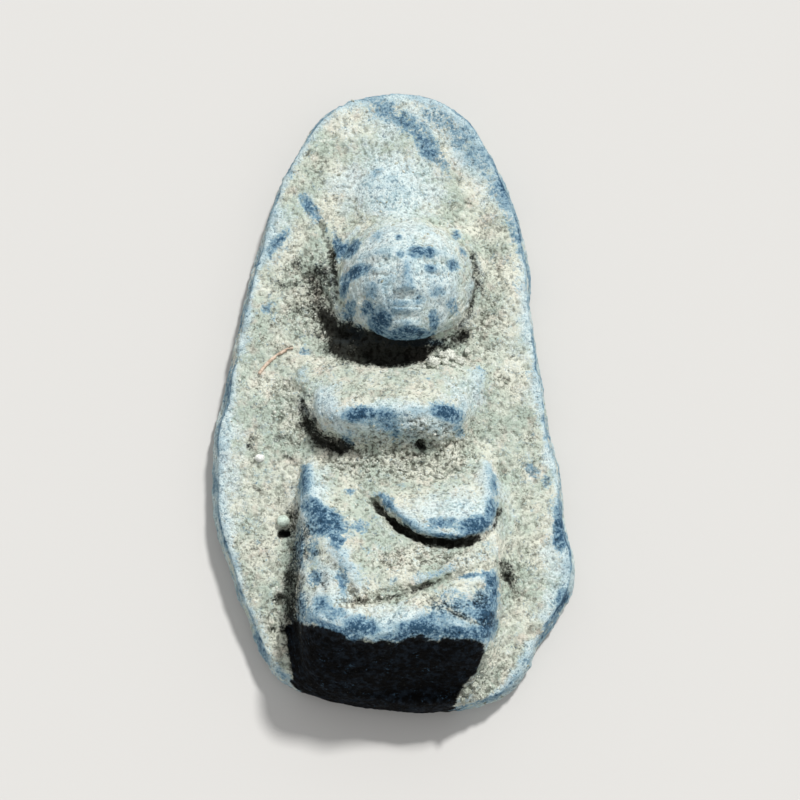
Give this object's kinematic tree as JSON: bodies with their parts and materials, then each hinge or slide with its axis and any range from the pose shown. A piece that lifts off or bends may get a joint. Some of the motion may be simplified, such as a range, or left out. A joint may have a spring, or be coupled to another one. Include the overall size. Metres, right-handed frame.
{
  "type": "votive amulet pendant",
  "caption": "Egg-shaped cast lead votive amulet: a seated figure in worn high relief on a flat plate, crusted with dry burial soil, with a plain flat back.",
  "frame": {"origin": "middle of the flat back, on the surface that the amulet lies on", "axes": "+Y from the plate's foot to its top, past the head; +Z out of the relief, away from the back; +X to the right for someone who faces the figure"},
  "size_m": [0.02, 0.0344, 0.0075],
  "materials": {
    "lead": "dull oxidised cast lead, slate blue where bare, under a thin pale sandy crust",
    "soil": "dry crumbly grit and one fine rootlet stuck to the casting"
  },
  "bodies": {
    "root": {"amulet": "lead"}
  },
  "joints": []
}
